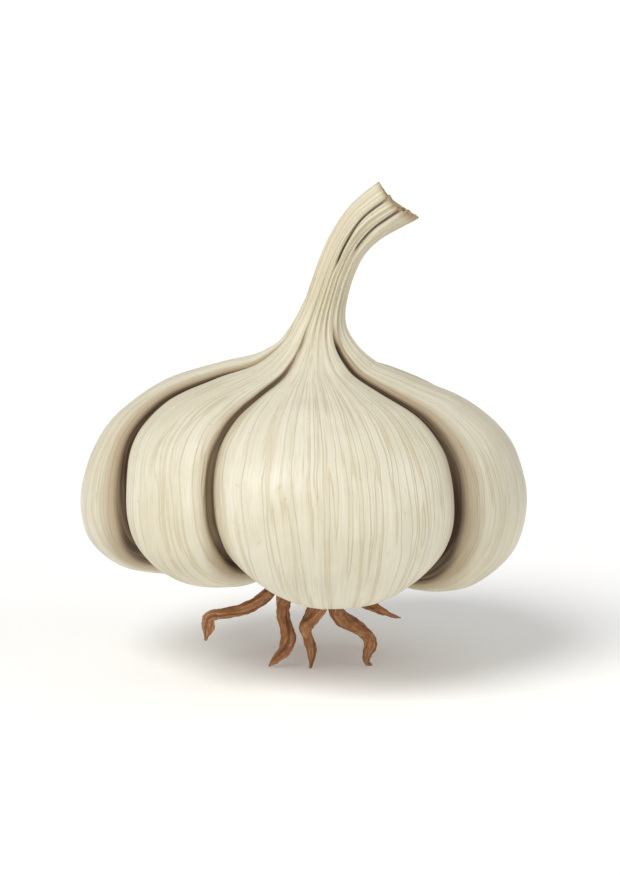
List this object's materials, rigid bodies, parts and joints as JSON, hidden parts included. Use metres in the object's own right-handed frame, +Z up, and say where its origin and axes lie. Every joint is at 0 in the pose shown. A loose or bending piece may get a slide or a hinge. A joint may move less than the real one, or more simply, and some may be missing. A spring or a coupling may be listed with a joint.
{
  "type": "garlic bulb",
  "caption": "Whole dried garlic bulb: papery lobed head, curved dry neck with a slanting cut end, corky root plate and wiry roots that it stands on.",
  "frame": {"origin": "middle of the bulb's box, on the surface that the root tips stand on", "axes": "+Z up towards the neck, +X to the side that the neck leans to, -Y to the front, where the widest lobe is"},
  "size_m": [0.0604, 0.0601, 0.0659],
  "materials": {
    "skin": "satin",
    "plate": "matte",
    "root": "matte"
  },
  "bodies": {
    "root": {"bulb": "skin", "root_plate": "plate", "root_far_left": "root", "root_left": "root", "root_middle": "root", "root_right": "root", "root_far_right": "root", "root_back_left": "root", "root_back_middle": "root", "root_back_right": "root"}
  },
  "joints": []
}
